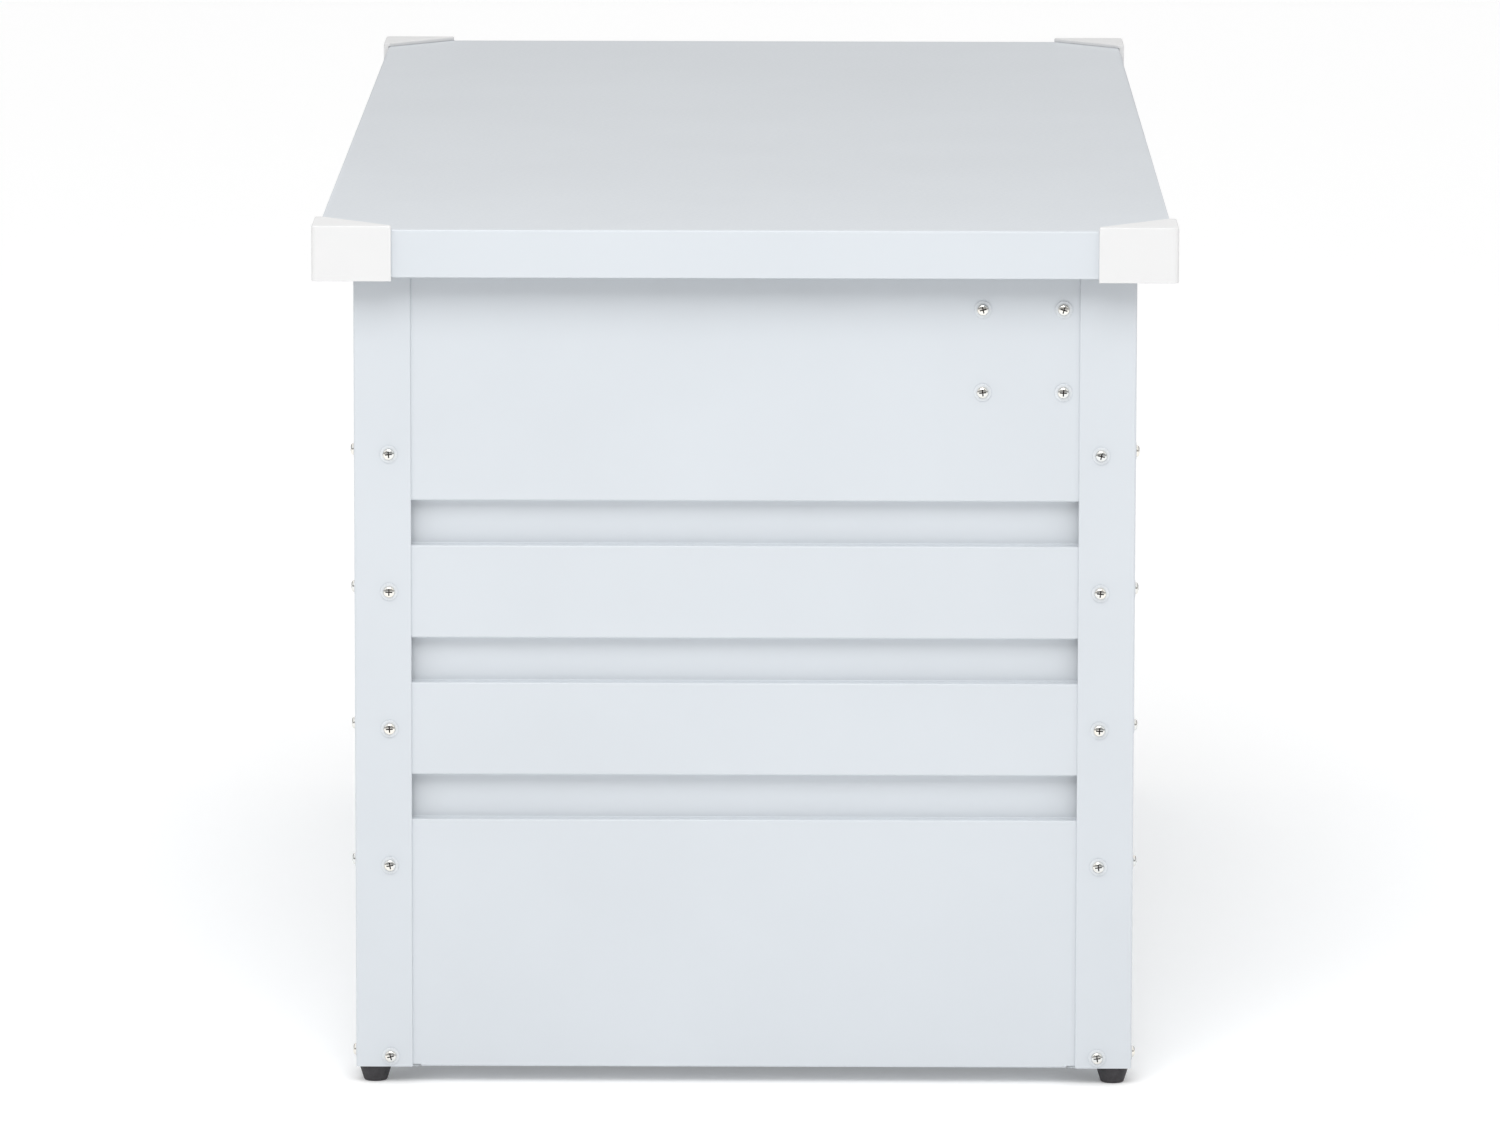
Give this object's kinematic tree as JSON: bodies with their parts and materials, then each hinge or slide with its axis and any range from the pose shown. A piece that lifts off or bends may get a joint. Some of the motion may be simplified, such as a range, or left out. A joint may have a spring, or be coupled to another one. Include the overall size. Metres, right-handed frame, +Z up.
{
  "type": "garden storage box",
  "caption": "Light grey sheet-steel garden storage box with ribbed panels, corner posts, a hinged lid on gas struts, white corner caps and rubber feet.",
  "frame": {"origin": "on the floor, under the middle of the closed box", "axes": "+X along the box to its right end, +Y to the hinged back, +Z up"},
  "size_m": [1.32, 0.62, 0.63],
  "materials": {
    "grey_paint": "light grey powder coat, satin",
    "cap_plastic": "white moulded plastic, soft gloss",
    "foot_rubber": "black moulded rubber, matte",
    "washer_nylon": "natural nylon, slightly translucent",
    "zinc_steel": "bright zinc plate",
    "bracket_zinc": "zinc-plated pressed steel",
    "stud_steel": "turned, zinc plated",
    "socket_plastic": "black glass-filled nylon",
    "tube_paint": "black baked enamel",
    "rod_chrome": "hard chrome, ground"
  },
  "bodies": {
    "box": {"front_panel": "grey_paint", "back_panel": "grey_paint", "left_end_panel": "grey_paint", "right_end_panel": "grey_paint", "left_floor_panel": "grey_paint", "right_floor_panel": "grey_paint", "floor_rail": "grey_paint", "front_left_post": "grey_paint", "front_left_foot_bracket": "bracket_zinc", "front_left_foot": "foot_rubber", "front_right_post": "grey_paint", "front_right_foot_bracket": "bracket_zinc", "front_right_foot": "foot_rubber", "back_left_post": "grey_paint", "back_left_foot_bracket": "bracket_zinc", "back_left_foot": "foot_rubber", "back_right_post": "grey_paint", "back_right_foot_bracket": "bracket_zinc", "back_right_foot": "foot_rubber", "foot_bolts": "zinc_steel", "foot_nuts": "zinc_steel", "body_screws": "zinc_steel", "body_washers": "washer_nylon", "body_nuts": "zinc_steel", "left_strut_plate": "bracket_zinc", "left_lower_ball_stud": "stud_steel", "right_strut_plate": "bracket_zinc", "right_lower_ball_stud": "stud_steel", "left_hinge_body_leaf": "bracket_zinc", "left_hinge_pin": "bracket_zinc", "middle_hinge_body_leaf": "bracket_zinc", "middle_hinge_pin": "bracket_zinc", "right_hinge_body_leaf": "bracket_zinc", "right_hinge_pin": "bracket_zinc"},
    "lid": {"lid_sheet": "grey_paint", "left_lid_rail": "grey_paint", "right_lid_rail": "grey_paint", "left_lid_strut_bracket": "bracket_zinc", "right_lid_strut_bracket": "bracket_zinc", "lid_buffers": "foot_rubber", "front_left_cap": "cap_plastic", "front_right_cap": "cap_plastic", "back_left_cap": "cap_plastic", "back_right_cap": "cap_plastic", "left_hinge_lid_leaf": "bracket_zinc", "middle_hinge_lid_leaf": "bracket_zinc", "right_hinge_lid_leaf": "bracket_zinc", "lid_screws": "zinc_steel", "lid_nuts": "zinc_steel"},
    "left_tube": {"left_lower_socket": "socket_plastic", "left_strut_tube": "tube_paint"},
    "left_rod": {"left_piston_rod": "rod_chrome", "left_upper_socket": "socket_plastic", "left_upper_ball_stud": "stud_steel"},
    "right_tube": {"right_lower_socket": "socket_plastic", "right_strut_tube": "tube_paint"},
    "right_rod": {"right_piston_rod": "rod_chrome", "right_upper_socket": "socket_plastic", "right_upper_ball_stud": "stud_steel"}
  },
  "joints": [
    {"name": "lid_hinge", "type": "hinge", "parent": "box", "child": "lid", "pos_m": [0, 0.2839, 0.5874], "axis": [-1, 0, 0], "range_deg": [0, 70]},
    {"name": "left_strut_swing", "type": "hinge", "parent": "box", "child": "left_tube", "pos_m": [-0.6111, 0.2139, 0.5354], "axis": [-1, 0, 0], "range_deg": [0, 68.36]},
    {"name": "left_strut_stroke", "type": "slide", "parent": "left_tube", "child": "left_rod", "axis": [0, -0.9206, 0.3905], "range_m": [0, 0.09988]},
    {"name": "right_strut_swing", "type": "hinge", "parent": "box", "child": "right_tube", "pos_m": [0.6111, 0.2139, 0.5354], "axis": [-1, 0, 0], "range_deg": [0, 68.36]},
    {"name": "right_strut_stroke", "type": "slide", "parent": "right_tube", "child": "right_rod", "axis": [0, -0.9206, 0.3905], "range_m": [0, 0.09988]}
  ],
  "couplings": [
    {"joint": "left_strut_swing", "follows": "lid_hinge", "ratio": 0.97649},
    {"joint": "left_strut_stroke", "follows": "lid_hinge", "m_per_rad": 0.081709},
    {"joint": "right_strut_swing", "follows": "lid_hinge", "ratio": 0.97649},
    {"joint": "right_strut_stroke", "follows": "lid_hinge", "m_per_rad": 0.081709}
  ]
}
